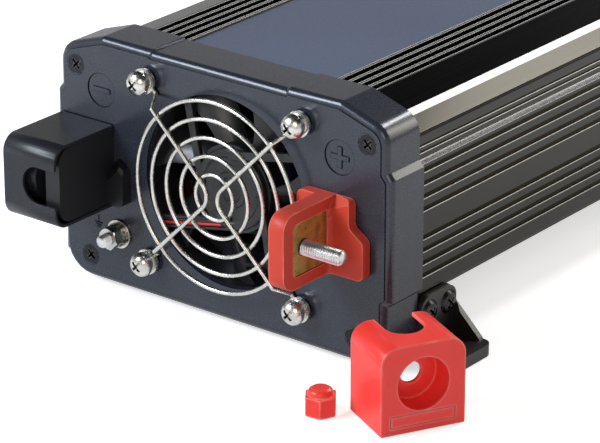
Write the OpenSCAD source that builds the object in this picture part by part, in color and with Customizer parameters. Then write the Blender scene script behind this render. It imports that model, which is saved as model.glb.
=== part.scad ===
// Power inverter with a finned shell, two end caps, an 80 mm fan and covered
// stud terminals. Millimetres, +Z up, +X to the right when facing the DC end,
// +Y from the DC end to the AC end. The origin is on the floor, in the middle
// of the four foot holes.

/* [Overall] */
// Length from the front face to the rear face
body_length = 300; // [280:5:340]
// Gap between the end caps and the floor
floor_gap = 2.2; // [2:0.1:6]

/* [End caps] */
// Half width over the widest part of a cap
cap_half_w = 78; // [76:0.5:84]
// Height of the cap above the fan
cap_above = 6.9; // [6.5:0.1:8]
// Depth of the cap below the fan
cap_below = 10.8; // [10.5:0.1:12]
// Depth of a cap from face to back edge
cap_depth = 19.5; // [19.5:0.5:21]
// Wall of the cap
cap_wall = 2.5; // [2.2:0.1:2.8]
// Radius of the rounded front rim
rim_radius = 2.6; // [2:0.1:3]
// Gap between cap and shell
shell_gap = 0.3; // [0.2:0.05:0.4]

/* [Fan] */
// Outside size of the square fan frame
fan_size = 80; // [76:1:84]
// Distance of a corner hole from the fan's sides
fan_hole_inset = 4.25; // [4:0.05:4.5]
// Thickness of the fan
fan_depth = 15; // [14:0.5:15]
// Sideways offset of the fan from the middle of the cap
fan_x = 3.2; // [2:0.1:4]
// Rim of the fan that the cap covers
fan_rim = 3; // [2.5:0.5:4]
// Number of blades
fan_blades = 7; // [5:1:9]
// Wire of the finger guard
wire_d = 1.6; // [1.4:0.1:1.8]
// Spacing of the guard's rings
ring_pitch = 7; // [6.8:0.1:7.1]

/* [Terminals] */
// Gap from the middle of the strip beside the fan inward to the positive wall's face
positive_gap = 6.6; // [6:0.1:7]
// Gap from the middle of the strip beside the fan inward to the negative wall's face
negative_gap = 0.5; // [0:0.1:1]
// Height of the studs relative to the fan axis
stud_z = -2.1; // [-2.5:0.1:-1]
// Thickness of a terminal wall
term_wall = 6.7; // [6.5:0.1:7]
// Half height of a terminal wall
term_half = 14.5; // [14:0.1:15]
// Reach of a terminal wall from the cap
term_reach = 30; // [29:0.5:31]
// Distance of a stud from the cap
stud_y = 18; // [17.5:0.1:19]
// Radius of a stud
stud_r = 2.95; // [2.9:0.01:3]
// Length of a stud beyond its wall
stud_len = 16.7; // [16:0.1:17]
// Wall of a terminal cover
cover_wall = 1.35; // [1.2:0.05:1.6]
// Length of a terminal cover along its stud
cover_len = 25.1; // [25:0.1:28]
// Radius of the cap nut's recess
recess_r = 9.8; // [9.4:0.1:10]
// Depth of the cap nut's recess
recess_depth = 10; // [9:0.5:10]
// Width of a cable slot
slot_w = 14.4; // [13:0.2:15]
// Distance across the flats of a cap nut
nut_af = 10.6; // [10:0.1:11]

/* [Feet] */
// Distance of a foot's middle from the cap's face
foot_inset = 30.5; // [30.5:0.5:32]
// Width of a foot
foot_w = 21.4; // [20:0.1:21.4]
// Thickness of a foot's base
foot_base = 4.6; // [4:0.1:5]
// Distance of a foot hole beyond the cap's side
foot_hole_out = 7; // [6:0.5:9]
// Rim of a foot beyond its hole
foot_rim = 9.4; // [7:0.2:10]
// Radius of a foot hole
foot_hole_r = 2.75; // [2.5:0.05:3]

/* [Hidden] */
$fn = 48;

// Colours
cap_grey = [0.27, 0.28, 0.32];
shell_black = [0.2, 0.2, 0.21];
panel_grey = [0.38, 0.41, 0.47];
nickel = [0.8, 0.79, 0.75];
red = [0.85, 0.22, 0.18];
black = [0.1, 0.1, 0.11];
zinc = [0.62, 0.5, 0.28];

// Fan and cap heights around the fan axis
fan_pitch = fan_size - 2 * fan_hole_inset;
fan_opening = fan_size - 2 * fan_rim;
cap_top = fan_size / 2 + cap_above;
cap_bottom = fan_size / 2 + cap_below;
axis_height = cap_bottom + floor_gap;
positive_x = (cap_half_w + fan_size / 2 + fan_x) / 2 - positive_gap;
negative_x = -(cap_half_w + fan_size / 2 - fan_x) / 2 + negative_gap;

// Cap outline, right half, as corner x, corner z and corner radius
side_step = 2.1;
upper_w = cap_half_w - side_step;
lower_w = cap_half_w - 2.2;
shoulder_x = cap_half_w - 22.7;
shoulder_tan = 0.325;
recess_x = cap_half_w - 46.8;
cap_right = [
    [lower_w, -cap_bottom, 12.5],
    [lower_w, -cap_bottom + 24.6, 0.6],
    [cap_half_w, -cap_bottom + 26.2, 0.6],
    [cap_half_w, cap_top - 24.7, 0.6],
    [upper_w, cap_top - 22.3, 0.6],
    [upper_w, cap_top - (upper_w - shoulder_x) * shoulder_tan, 8.5],
    [shoulder_x, cap_top, 4],
    [recess_x + 0.5, cap_top, 0.6],
    [recess_x - 0.5, cap_top - 0.7, 0.6]];
cap_corners = concat(cap_right, [for (i = [len(cap_right) - 1:-1:0])
    [-cap_right[i][0], cap_right[i][1], cap_right[i][2]]]);
plate_t = 2.5;
fan_play = 0.3;
rim_step = 0.4;
rear_t = 2;

// Shell section, right half
shell_side = cap_half_w - cap_wall - shell_gap - 0.2;
shell_upper = shell_side - 1.9;
shell_top = cap_top - cap_wall - shell_gap - 0.7;
panel_half = cap_half_w - 44;
panel_t = 0.5;
panel_floor = shell_top - 1.3;
rib_pitch = 4.4;
rib_x = [for (i = [0:3]) panel_half + 2.9 + i * rib_pitch];
rib_groove = 3;
plate_z = -cap_bottom + 22.7;
plate_sheet = 2.2;
plate_half = shell_side - 0.8;
shell_in = shell_side - 4.4;
groove_drop = [25.35, 30.3, 35.4, 40.3];
groove_rise = [20.25, 15.4, 10.4, 5.5];
side_grooves = concat([for (d = groove_drop) shell_top - d], [for (h = groove_rise) plate_z + h]);
shell_y = plate_t + fan_depth + 0.3;
shell_half = body_length / 2 - shell_y;

// Fasteners
upper_screw = [cap_half_w - 10.4, cap_top - 12.9];
lower_screw = [cap_half_w - 15.5, -cap_bottom + 9.4];
screw_r = 1.75;
fit = 0.05;
panel_fit = 0.1;

// Feet
flange_x = cap_half_w - 3.4;
flange_t = 3;
foot_hole_x = cap_half_w + foot_hole_out;
foot_reach = foot_hole_x + foot_rim;
foot_top = floor_gap + 21.7;
foot_screw_z = floor_gap + 15.4;
foot_screw_y = 5.7;
lug_len = foot_inset + foot_w / 2 - cap_depth;

// Loose pieces
loose_cover = [cap_half_w + 22.4, -19.6, -28];
loose_nut = [cap_half_w - 2.8, -36.2, 6];

// Rear end, seen from behind
outlet_x = [-46, -10];
outlet_z = -10;
switch_x = 30;
light_x = 56;
light_z = [2, -16];
rocker_tilt = 12;
rocker_pivot = 2.4;

// Inside
board_z = plate_z + 5;
board_t = 1.6;
board_half = cap_half_w - 14.2;
board_y = 24;
standoff_x = board_half - 9.8;

// Placing
module front() { translate([0, -body_length / 2, axis_height]) children(); }
module rear() { rotate([0, 0, 180]) translate([0, -body_length / 2, axis_height]) children(); }
module along_y(y0, y1) { translate([0, y1, 0]) rotate([90, 0, 0]) linear_extrude(y1 - y0) children(); }
module along_x(x0, x1) { translate([x0, 0, 0]) rotate([90, 0, 90]) linear_extrude(x1 - x0) children(); }
module cyl_y(x, z, y0, y1, r) { translate([x, y1, z]) rotate([90, 0, 0]) cylinder(h = y1 - y0, r = r); }
module cyl_x(y, z, x0, x1, r) { translate([x0, y, z]) rotate([0, 90, 0]) cylinder(h = x1 - x0, r = r); }
module turned_y(x, z) { translate([x, 0, z]) rotate([-90, 0, 0]) rotate_extrude() children(); }
module box(a, b) { translate(a) cube(b - a); }
module mirrored() { children(); mirror([1, 0, 0]) children(); }
module positive() { front() translate([positive_x, 0, stud_z]) children(); }
module negative() { front() translate([negative_x, 0, stud_z]) rotate([0, 180, 0]) children(); }

// Closed outline with rounded corners, moved inward by d
function unit(v) = v / norm(v);
function left(v) = [-v[1], v[0]];
function xy(p) = [p[0], p[1]];
function moved(a, b, c, d) = let (n = left(unit(b - a)), m = left(unit(c - b)))
    b + d * (n + m) / (1 + n * m);
function moved_all(p, d) = let (k = len(p)) [for (i = [0:k - 1])
    moved(xy(p[(i + k - 1) % k]), xy(p[i]), xy(p[(i + 1) % k]), d)];
function turn(e, f) = atan2(e[0] * f[1] - e[1] * f[0], e * f);
function spun(v, a) = [v[0] * cos(a) - v[1] * sin(a), v[0] * sin(a) + v[1] * cos(a)];
function corner_steps(r, w) = r < 1 ? 1 : ceil(abs(w) / 15);
function corner_radius(r, d) = r < 1 ? r : max(0.4, r - d);
function corner(a, b, c, r, steps) = let (e = unit(b - a), f = unit(c - b), w = turn(e, f),
    s = sign(w), p = b - r * tan(abs(w) / 2) * e, o = p + s * r * left(e))
    [for (k = [0:steps]) o + spun(p - o, w * k / steps)];
function rounded(p, d) = let (k = len(p), q = moved_all(p, d)) [for (i = [0:k - 1])
    let (a = q[(i + k - 1) % k], b = q[i], c = q[(i + 1) % k], w = turn(b - a, c - b))
    each corner(a, b, c, corner_radius(p[i][2], sign(w) * d), corner_steps(p[i][2], w))];

// Closed band through a loop of outlines, each at its own depth
module band(rings, depths) {
    k = len(rings[0]);
    n = len(rings);
    points = [for (j = [0:n - 1]) for (p = rings[j]) [p[0], depths[j], p[1]]];
    faces = [for (j = [0:n - 1]) for (i = [0:k - 1]) let (m = (i + 1) % k, u = j * k, v = (j + 1) % n * k)
        each [[u + i, u + m, v + m], [u + i, v + m, v + i]]];
    polyhedron(points, faces);
}

// End cap: a shell with a rounded rim, a raised face and lugs for the feet
module cap_blank() {
    arc = [for (a = [0:22.5:90]) [rim_radius * (1 - sin(a)), rim_step + rim_radius * (1 - cos(a))]];
    inner = rim_radius + 0.5;
    rim = concat(arc, [[inner, rim_step + rim_radius], [inner, rim_step]]);
    difference() {
        union() {
            along_y(0, plate_t) polygon(rounded(cap_corners, rim_radius));
            band([for (s = rim) rounded(cap_corners, s[0])], [for (s = rim) s[1]]);
            along_y(rim_step + rim_radius, cap_depth) polygon(rounded(cap_corners, 0));
        }
        along_y(plate_t, cap_depth - rear_t) polygon(rounded(cap_corners, cap_wall));
        along_y(cap_depth - rear_t - 1, cap_depth + 1) polygon(moved_all(both(shell_right), -shell_gap));
    }
    mirrored() {
        cyl_y(upper_screw[0], upper_screw[1], plate_t - 0.5, shell_y, 4);
        cyl_y(lower_screw[0], lower_screw[1], plate_t - 0.5, cap_depth - 0.5, 4);
        foot_lug();
    }
}

// Channel-shaped lug behind the cap's lower corner
module foot_lug() {
    z0 = -cap_bottom + 2.2;
    z1 = plate_z - plate_sheet - 0.6;
    z = foot_screw_z - axis_height;
    difference() {
        union() {
            box([flange_x - 3.2, cap_depth - 1, z0], [flange_x, cap_depth + lug_len, z1]);
            box([flange_x - 6, cap_depth - 1, z0], [flange_x, cap_depth + lug_len, z0 + 2.4]);
            box([flange_x - 6, cap_depth - 1, z1 - 2.2], [flange_x, cap_depth + lug_len, z1]);
            for (s = [-1, 1]) {
                cyl_x(foot_inset + s * foot_screw_y, z, flange_x - 8, flange_x - 3, 3.6);
            }
        }
        for (s = [-1, 1]) {
            cyl_x(foot_inset + s * foot_screw_y, z, flange_x - 7.2, flange_x + 1, screw_r + fit);
        }
    }
}

module cap_screw_holes() {
    mirrored() for (p = [upper_screw, lower_screw]) {
        cyl_y(p[0], p[1], -1, cap_depth + 1, 2.1);
        turned_y(p[0], p[1]) polygon([[0, -1], [4.1, -1], [4.1, 0.3], [2.1, 2.3], [0, 2.3]]);
    }
}

// Polarity mark: a sunk disc with raised bars
mark_x = cap_half_w - 22.6;
mark_z = cap_top - 20.5;
mark_r = 6.6;
mark_bar = 4;
module polarity_mark(x, plus) {
    difference() {
        cyl_y(x, mark_z, -1, 0.4, mark_r);
        box([x - mark_bar, -2, mark_z - 0.9], [x + mark_bar, 1, mark_z + 0.9]);
        if (plus) box([x - 0.9, -2, mark_z - mark_bar], [x + 0.9, 1, mark_z + mark_bar]);
    }
}

// Room behind the plate for the square fan
module fan_pocket() {
    h = fan_size / 2 + fan_play;
    box([fan_x - h, plate_t, -h], [fan_x + h, plate_t + fan_depth + fan_play, h]);
}

module front_end_cap() {
    color(cap_grey) front() difference() {
        cap_blank();
        cyl_y(fan_x, 0, -1, plate_t + 1, fan_opening / 2);
        fan_pocket();
        for (s = [-1, 1]) for (t = [-1, 1]) {
            cyl_y(fan_x + s * fan_pitch / 2, t * fan_pitch / 2, -1, plate_t + 1, 2.2);
        }
        cap_screw_holes();
        polarity_mark(-mark_x, false);
        polarity_mark(mark_x, true);
        translate([positive_x, 0, stud_z]) bus_slot();
        translate([negative_x, 0, stud_z]) rotate([0, 180, 0]) bus_slot();
        cyl_y(ground_at[0], ground_at[1], -1, plate_t + 1, ground_r + fit);
        earth_mark();
    }
}

// Opening for a bus bar and the two base screws
module bus_slot() {
    box([-bus_deep - 0.3, -1, -bus_half - 0.3], [-bus_deep + bus_t + 0.3, plate_t + 1, bus_half + 0.3]);
    for (p = base_screws) cyl_y(p[0], p[1], -1, plate_t + 1, screw_r + 0.2);
}

// Earth mark cut beside the ground stud
module earth_mark() {
    translate([ground_at[0] - 10.3, 0, ground_at[1]]) {
        box([-0.2, -1, 2.3], [0.2, 0.3, 5.3]);
        for (i = [0:2]) box([-2 + i * 0.6, -1, 1.9 - i * 0.9], [2 - i * 0.6, 0.3, 2.3 - i * 0.9]);
    }
}

// Screws that hold the caps
module cap_screw(p, tip) {
    difference() {
        turned_y(p[0], p[1]) polygon([[0, 0.1], [4, 0.1], [4, 0.35], [screw_r, 2.6], [screw_r, tip - 1],
            [screw_r - 1, tip], [0, tip]]);
        cross_recess(p, 0.1, 1.9);
    }
}
module cross_recess(p, y, depth) {
    for (a = [45, 135]) translate([p[0], y - 1, p[1]]) rotate([0, a, 0]) {
        box([-2.3, 0, -0.5], [2.3, depth + 0.4, 0.5]);
    }
}
module cap_screws() {
    mirrored() {
        cap_screw(upper_screw, shell_y + 8);
        cap_screw(lower_screw, cap_depth + 5);
    }
}
module front_cap_screws() { color(black) front() cap_screws(); }
module rear_cap_screws() { color(black) rear() cap_screws(); }

// Finned shell: an extruded arch open below
shell_right = [
    [shell_side, plate_z],
    [shell_side, shell_top - 22],
    [shell_upper, shell_top - 21.1],
    [shell_upper, shell_top - 11.5],
    [shell_upper + 0.5, shell_top - 10.9],
    [shell_upper + 0.5, shell_top - 10.2],
    [shell_upper - 4.2, shell_top - 5.5],
    [shell_upper - 6.7, shell_top - 3.9],
    [shoulder_x - 2.7, shell_top]];
shell_inner = [
    [shell_in, plate_z - 1],
    [shell_in, shell_top - 23.4],
    [shell_in - 1.5, shell_top - 21.9],
    [shell_in - 1.5, shell_top - 12.4],
    [shell_in - 5.6, shell_top - 8],
    [shoulder_x - 3.8, shell_top - 4],
    [panel_half, shell_top - 4]];
function both(p) = concat(p, [for (i = [len(p) - 1:-1:0]) [-p[i][0], p[i][1]]]);
module shell_section() {
    difference() {
        polygon(both(shell_right));
        polygon(both(shell_inner));
        translate([-panel_half, panel_floor]) square([2 * panel_half, 5]);
        mirrored() {
            for (x = rib_x) translate([x - rib_groove / 2, shell_top - 2.2]) square([rib_groove, 5]);
            for (z = side_grooves) {
                translate([shell_side - 1.8, z]) square([3, 1.3]);
                translate([shell_side - 0.9, z + 1]) square([3, 1.1]);
            }
            for (d = [16.3, 18.7]) translate([shell_upper - 0.8, shell_top - d]) square([3, 0.9]);
        }
    }
    mirrored() difference() {
        union() {
            translate(upper_screw) circle(r = 3.6);
            translate([shell_in - 11, plate_z]) square([11.5, 2.6]);
        }
        translate(upper_screw) circle(r = screw_r + fit);
    }
}
module finned_shell() {
    color(shell_black) front() difference() {
        along_y(shell_y, body_length - shell_y) difference() {
            shell_section();
            mirrored() translate(upper_screw) circle(r = screw_r + fit);
        }
        for (p = plate_screws) translate([p[0], p[1], plate_z - 1]) cylinder(h = 5, r = 1.3 + fit);
    }
}
plate_screw_x = shell_in - 6;
plate_screws = [for (s = [-1, 1]) for (y = [60, body_length / 2, body_length - 60]) [s * plate_screw_x, y]];

// Bottom plate: folded sheet with a tab behind each lower cap screw
module bottom_plate() {
    color(shell_black) front() difference() {
        union() {
            box([-plate_half, cap_depth, plate_z - plate_sheet],
                [plate_half, body_length - cap_depth, plate_z]);
            for (y = [cap_depth, body_length - cap_depth - plate_sheet]) mirrored() {
                box([lower_screw[0] - 4.5, y, lower_screw[1] - 6.1],
                    [lower_screw[0] + 3.5, y + plate_sheet, plate_z - 1]);
            }
        }
        mirrored() cyl_y(lower_screw[0], lower_screw[1], 0, body_length, screw_r + fit);
        for (p = plate_screws) translate([p[0], p[1], plate_z - 5]) cylinder(h = 10, r = 1.6);
        for (p = standoffs) translate([p[0], p[1], plate_z - 5]) cylinder(h = 10, r = 1.6);
    }
}
module bottom_plate_screws() {
    color(black) front() for (p = plate_screws) {
        translate([p[0], p[1], plate_z - plate_sheet]) small_screw(6);
    }
}
// Pan-head screw pointing up, seat at z = 0
module small_screw(len) {
    difference() {
        rotate_extrude() polygon([[0, -2], [2.2, -2], [2.9, -1.3], [2.9, 0], [1.3, 0], [1.3, len - 0.6],
            [0.7, len], [0, len]]);
        for (a = [0, 90]) rotate([0, 0, a]) box([-1.6, -0.4, -3], [1.6, 0.4, -0.9]);
    }
}

module top_panel() {
    color(panel_grey) front() box([-panel_half + 0.15, shell_y, panel_floor],
        [panel_half - 0.15, body_length - shell_y, panel_floor + panel_t]);
}

// Fan: square frame with a motor tube on three struts
hub_r = 17;
fan_bore = fan_size / 2 - 2;
axle_r = 1.5;
module fan_frame() {
    color(black) front() translate([fan_x, plate_t, 0]) {
        difference() {
            along_y(0, fan_depth) difference() {
                translate([-fan_size / 2, -fan_size / 2]) square(fan_size);
                circle(r = fan_bore, $fn = 96);
                for (s = [-1, 1]) for (t = [-1, 1]) {
                    translate([s * fan_pitch / 2, t * fan_pitch / 2]) circle(r = 2.15);
                    translate([s * fan_size / 2, t * fan_size / 2]) rotate(45) square(3, center = true);
                }
            }
            for (a = [0:90:270]) rotate([0, a, 0]) {
                box([-22, 3, fan_size / 2 - 1], [22, fan_depth - 3, fan_size / 2 + 1]);
            }
        }
        difference() {
            union() {
                cyl_y(0, 0, fan_depth - 2, fan_depth, hub_r);
                cyl_y(0, 0, 3, fan_depth - 1, 4);
                for (a = [45:90:315]) rotate([0, a, 0]) {
                    box([hub_r - 1, fan_depth - 2, -2], [fan_bore + 3, fan_depth, 2]);
                }
            }
            cyl_y(0, 0, 0, fan_depth - 1.5, axle_r + fit);
        }
    }
}
// Blade: a cambered section carried from hub to tip, its pitch falling outward
blade_y = 7.4;
blade_h = 8.6;
blade_tip = fan_bore - 0.9;
blade_n = 5;
function blade_pitch(t) = 52 - 24 * t;
function blade_point(t, c, side) = let (r = hub_r - 0.8 + t * (blade_tip - hub_r + 0.8), b = blade_pitch(t),
    l = blade_h / sin(b), e = side * (0.35 + 0.5 * (1 - 4 * c * c)) + 1.1 * (1 - 4 * c * c),
    along = l * c * cos(b) - e * sin(b), a = along / r * 180 / PI + 14 * t)
    [r * cos(a), blade_y + l * c * sin(b) + e * cos(b), r * sin(a)];
blade_side = [-0.5, -0.3, 0, 0.3, 0.5];
blade_loop = concat([for (c = blade_side) [c, 1]], [for (c = blade_side) [-c, -1]]);
module fan_blade() {
    k = len(blade_loop);
    points = [for (j = [0:blade_n]) for (q = blade_loop) blade_point(j / blade_n, q[0], q[1])];
    root = [for (i = [1:k - 2]) [0, i, i + 1]];
    tip = [for (i = [1:k - 2]) [blade_n * k, blade_n * k + i + 1, blade_n * k + i]];
    sides = [for (j = [0:blade_n - 1]) for (i = [0:k - 1]) let (m = (i + 1) % k)
        each [[j * k + i, (j + 1) * k + m, j * k + m], [j * k + i, (j + 1) * k + i, (j + 1) * k + m]]];
    polyhedron(points, concat(root, tip, sides));
}
module fan_rotor() {
    color(black) front() translate([fan_x, plate_t, 0]) {
        difference() {
            turned_y(0, 0) polygon([[0, 1], [hub_r - 1.5, 1], [hub_r, 2.5], [hub_r, 12.3],
                [hub_r - 1.5, 12.3], [hub_r - 1.5, 2.7], [0, 2.7]]);
            for (a = [0:60:300]) cyl_y(11 * cos(a), 11 * sin(a), 0, 1.5, 1.2);
        }
        cyl_y(0, 0, 2, 12.5, axle_r);
        for (i = [0:fan_blades - 1]) rotate([0, i * 360 / fan_blades, 0]) fan_blade();
    }
}

// Finger guard: five rings carried by two bent wires with an eye at each end
ring_r = [for (i = [4:-1:0]) fan_opening / 2 - 0.4 - i * ring_pitch];
ring_y = -5.9;
spoke_y = ring_y - wire_d * 0.85;
apex_r = 6.2;
eye_r = 3.1;
module ring(r, y) {
    translate([0, y, 0]) rotate([90, 0, 0]) rotate_extrude($fn = 96) {
        translate([r, 0]) circle(r = wire_d / 2, $fn = 16);
    }
}
module wire(a, b) {
    d = b - a;
    l = norm(d);
    translate(a) rotate([0, acos(d[2] / l), atan2(d[1], d[0])]) cylinder(h = l, r = wire_d / 2, $fn = 16);
}
module bend(a) { translate(a) sphere(r = wire_d / 2 + 0.03, $fn = 16); }
module fan_guard() {
    p = fan_pitch / 2;
    eye_y = -wire_d / 2;
    k = p - eye_r / sqrt(2) - 0.1;
    m = apex_r / sqrt(2);
    color(nickel) front() translate([fan_x, 0, 0]) {
        for (r = ring_r) ring(r, ring_y);
        for (s = [-1, 1]) {
            translate([s * apex_r * sqrt(2), spoke_y, 0]) rotate([90, 0, s > 0 ? 0 : 180]) {
                rotate([0, 0, 135]) rotate_extrude(angle = 90) {
                    translate([apex_r, 0]) circle(r = wire_d / 2, $fn = 16);
                }
            }
            for (t = [-1, 1]) {
                translate([s * p, eye_y, t * p]) rotate([90, 0, 0]) rotate_extrude() {
                    translate([eye_r, 0]) circle(r = wire_d / 2, $fn = 16);
                }
                eye = [s * k, eye_y, t * k];
                heel = [s * (k - 2.2), eye_y, t * (k - 2.2)];
                knee = [s * (k - 5.6), spoke_y, t * (k - 5.6)];
                mid = [s * m, spoke_y, t * m];
                wire(eye, heel);
                wire(heel, knee);
                wire(knee, mid);
                bend(heel);
                bend(knee);
                bend(mid);
            }
        }
    }
}
// Pan-head screw with a flat washer and a spring washer under the head
module fan_guard_screws() {
    p = fan_pitch / 2;
    screw_end = plate_t + fan_depth - 3.5;
    color(nickel) front() for (s = [-1, 1]) for (t = [-1, 1]) {
        q = [fan_x + s * p, t * p];
        translate([0, -wire_d, 0]) difference() {
            turned_y(q[0], q[1]) polygon([[0, -7.5], [1.6, -7.4], [3.1, -6.8], [4.3, -5.6], [4.7, -4.4],
                [4.7, -3.5], [4.1, -3.2], [4.1, -1.4], [4.9, -1.2], [4.9, 0], [2, 0], [2, screw_end - 1],
                [1.2, screw_end], [0, screw_end]]);
            cross_recess(q, -6.7, 1.5);
        }
    }
}

// Terminal base: a flange with two lobes and a wall that carries the bus bar
bus_t = 2;
bus_deep = 2.4;
bus_half = 9.8;
bus_cut = 1.6;
bus_end = -term_reach + 5.6;
base_depth = 4.1;
base_fillet = 2;
lobe = 14.4;
flange_pts = [
    [lobe + 0.5, -term_half, 2.5],
    [lobe + 0.5, 0.2, 2.5],
    [8.6, 4.6, 3],
    [8.6, term_half, 2],
    [-lobe, term_half, 2.5],
    [-lobe, -0.2, 2.5],
    [-term_wall + 1, -5.4, 0.5],
    [-term_wall + 1, -term_half, 0.5]];
base_screws = [[5, 8.6], [9.5, -8.5]];
module bus_outline(d) {
    h = bus_half + d;
    polygon([[bus_end - d, -h + bus_cut], [bus_end - d + bus_cut, -h], [1, -h], [1, h],
        [bus_end - d + bus_cut, h], [bus_end - d, h - bus_cut]]);
}
// Slope that falls from a ridge on the flange's face at p, square to direction a
module slope(p, a) {
    translate([p[0], -base_depth, p[1]]) rotate([0, a, 0]) rotate([45, 0, 0]) {
        translate([-25, -25, 0]) cube([50, 50, 25]);
    }
}
module flange_half(u0, u1) {
    intersection() {
        along_y(-base_depth, 0) polygon(rounded(flange_pts, 0));
        box([u0, -base_depth - 1, -term_half - 1], [u1, 1, term_half + 1]);
    }
}
module terminal_base() {
    difference() {
        union() {
            difference() {
                flange_half(-3, lobe + 1);
                slope([0.3, 10.2], -21);
            }
            difference() {
                flange_half(-lobe - 1, -2.9);
                slope([-7.2, 5.2], 132);
                slope([-12.4, -0.2], -139);
            }
            along_x(-term_wall, 0) wall_face(0);
            translate([0, -base_depth - base_fillet, -term_half]) linear_extrude(term_half + 7) {
                difference() {
                    square(base_fillet);
                    translate([base_fillet, 0]) circle(r = base_fillet);
                }
            }
        }
        along_x(-bus_deep, 1) intersection() {
            bus_outline(0.15);
            translate([-term_reach, -term_half]) square([term_reach - base_depth - 1.2, 2 * term_half]);
        }
        along_x(-bus_deep, -bus_deep + bus_t + 0.15) bus_outline(0.15);
        cyl_x(-stud_y, 0, -bus_deep - 2.2, 0, 5);
        for (p = base_screws) cyl_y(p[0], p[1], -base_depth + 0.9, 1, screw_r + fit);
    }
}
// Wall profile with rounded outward corners, moved inward by d
module wall_face(d) {
    r = 6 - d;
    y = -term_reach + d;
    h = term_half - d;
    translate([y + r, -h]) square([-y - r, 2 * h]);
    translate([y, -h + r]) square([r + 1, 2 * (h - r)]);
    for (s = [-1, 1]) translate([y + r, s * (h - r)]) circle(r = r);
}
module positive_terminal_base() { color(red) positive() terminal_base(); }
module negative_terminal_base() { color(black) negative() terminal_base(); }

// Bus bar: a strip with cut corners, bent into a leg that stands on the board
module bus_bar(leg) {
    y1 = board_y + 4;
    difference() {
        along_x(-bus_deep, -bus_deep + bus_t) {
            bus_outline(0);
            translate([0, -bus_half]) square([y1, 2 * bus_half]);
            if (leg < 0) translate([y1 - 9, leg]) square([9, -leg]);
            if (leg > 0) translate([y1 - 9, 0]) square([9, leg]);
        }
        cyl_x(-stud_y, 0, -10, 10, stud_r + 0.2 + fit);
    }
}
module positive_bus_bar() { color(zinc) positive() bus_bar(board_z + board_t - stud_z); }
module negative_bus_bar() { color(zinc) negative() bus_bar(-(board_z + board_t - stud_z)); }

// Stud with a round head held behind the bus bar
module stud() {
    face = bus_t - bus_deep;
    head = -bus_deep - 2.2;
    translate([0, -stud_y, 0]) rotate([0, 90, 0]) rotate_extrude() {
        polygon([[0, head], [5 - fit, head], [5 - fit, -bus_deep], [stud_r + 0.2, -bus_deep],
            [stud_r + 0.2, face], [stud_r, face], [stud_r, stud_len - 0.9], [stud_r - 0.9, stud_len],
            [0, stud_len]]);
    }
}
module positive_stud() { color(nickel) positive() stud(); }
module negative_stud() { color(nickel) negative() stud(); }

module base_screw(p) {
    difference() {
        turned_y(p[0], p[1]) polygon([[0, plate_t + 2.2], [2.4, plate_t + 2.2], [3, plate_t + 1.4],
            [3, plate_t], [screw_r, plate_t], [screw_r, -2.3], [screw_r - 0.8, -3.1], [0, -3.1]]);
        cross_recess(p, plate_t + 1.8, 1.5);
    }
}
module terminal_base_screws() {
    color(black) {
        positive() for (p = base_screws) base_screw(p);
        negative() for (p = base_screws) base_screw(p);
    }
}

// Terminal cover: open towards the cap and the wall, slotted for the cable,
// with a deep recess for the cap nut on its closed side
cover_half = term_half + 0.25 + cover_wall;
cover_reach = term_reach + 1.85 + cover_wall;
cover_start = -term_wall - 0.4;
cover_end = cover_start + cover_len;
cover_gap = 0.3;
slot_len = 15.7;
module cover_profile(d) {
    r = 6.4 - d;
    y = -cover_reach + d;
    h = cover_half - d;
    translate([y + r, -h]) square([-y - r - cover_gap + (d > 0 ? 5 : 0), 2 * h]);
    translate([y, -h + r]) square([r + 1, 2 * (h - r)]);
    for (s = [-1, 1]) translate([y + r, s * (h - r)]) circle(r = r);
}
module terminal_cover() {
    slot_c = cover_start + slot_len - slot_w / 2;
    difference() {
        union() {
            difference() {
                along_x(cover_start, cover_end) cover_profile(0);
                along_x(cover_start - 1, cover_end - cover_wall) cover_profile(cover_wall);
            }
            intersection() {
                cyl_x(-stud_y, 0, cover_end - recess_depth - 2, cover_end - 0.5, recess_r + cover_wall);
                along_x(cover_start, cover_end) cover_profile(0.5);
            }
        }
        cyl_x(-stud_y, 0, cover_end - recess_depth, cover_end + 1, recess_r);
        cyl_x(-stud_y, 0, cover_end - recess_depth - 5, cover_end, 4);
        translate([0, -cover_reach - 1, 0]) {
            cyl_y(slot_c, 0, 0, cover_wall + 2, slot_w / 2);
            box([cover_start - 1, 0, -slot_w / 2], [slot_c, cover_wall + 2, slot_w / 2]);
        }
        difference() {
            box([cover_end - 0.3, -7.4, -12.5], [cover_end + 1, -2.8, 12.5]);
            box([cover_end - 1, -7, -12.1], [cover_end + 2, -3.2, 12.1]);
        }
    }
}
module negative_terminal_cover() { color(black) negative() terminal_cover(); }
// The positive cover stands on its open end in front of the right foot
module positive_terminal_cover() {
    color(red) translate([loose_cover[0], loose_cover[1] - body_length / 2, -cover_gap]) {
        rotate([0, 0, loose_cover[2]]) rotate([-90, 0, 0]) {
            translate([-(cover_start + cover_end) / 2, 0, 0]) terminal_cover();
        }
    }
}

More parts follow.
